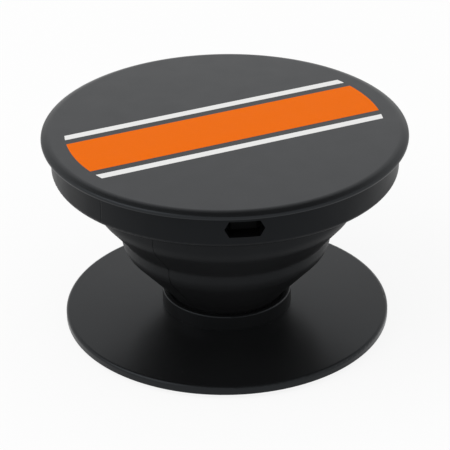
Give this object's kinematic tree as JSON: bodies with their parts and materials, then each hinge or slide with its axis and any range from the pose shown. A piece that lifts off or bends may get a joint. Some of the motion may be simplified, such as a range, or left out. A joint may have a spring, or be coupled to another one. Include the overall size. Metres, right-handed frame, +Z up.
{
  "type": "phone grip",
  "caption": "Collapsible phone grip: a flat disc on a soft stepped bellows that folds down onto a round base with an adhesive pad, and turns in the base's collar.",
  "frame": {"origin": "centre of the adhesive pad's lower face, which sits on the phone", "axes": "+Z up along the grip's own axis, from the phone to the disc; -Y is the side that the picture shows"},
  "size_m": [0.04, 0.04, 0.0234],
  "materials": {
    "disc_plastic": "fine satin moulding",
    "ring_plastic": "fine satin moulding",
    "bellows_rubber": "smooth soft moulding",
    "hub_plastic": "plain moulding",
    "base_plastic": "smooth satin moulding",
    "pad_rubber": "tacky foam"
  },
  "bodies": {
    "base": {"base": "base_plastic", "adhesive_pad": "pad_rubber"},
    "stem": {"swivel_hub": "hub_plastic", "bellows": "bellows_rubber"},
    "top": {"top_disc": "disc_plastic", "skirt_ring": "ring_plastic"}
  },
  "joints": [
    {"name": "swivel", "type": "hinge", "parent": "base", "child": "stem", "pos_m": [0, 0, 0.0023], "axis": [0, 0, 1], "continuous": true},
    {"name": "collapse", "type": "slide", "parent": "stem", "child": "top", "axis": [0, 0, 1], "range_m": [-0.0172, 0], "deforming": ["bellows"]}
  ]
}
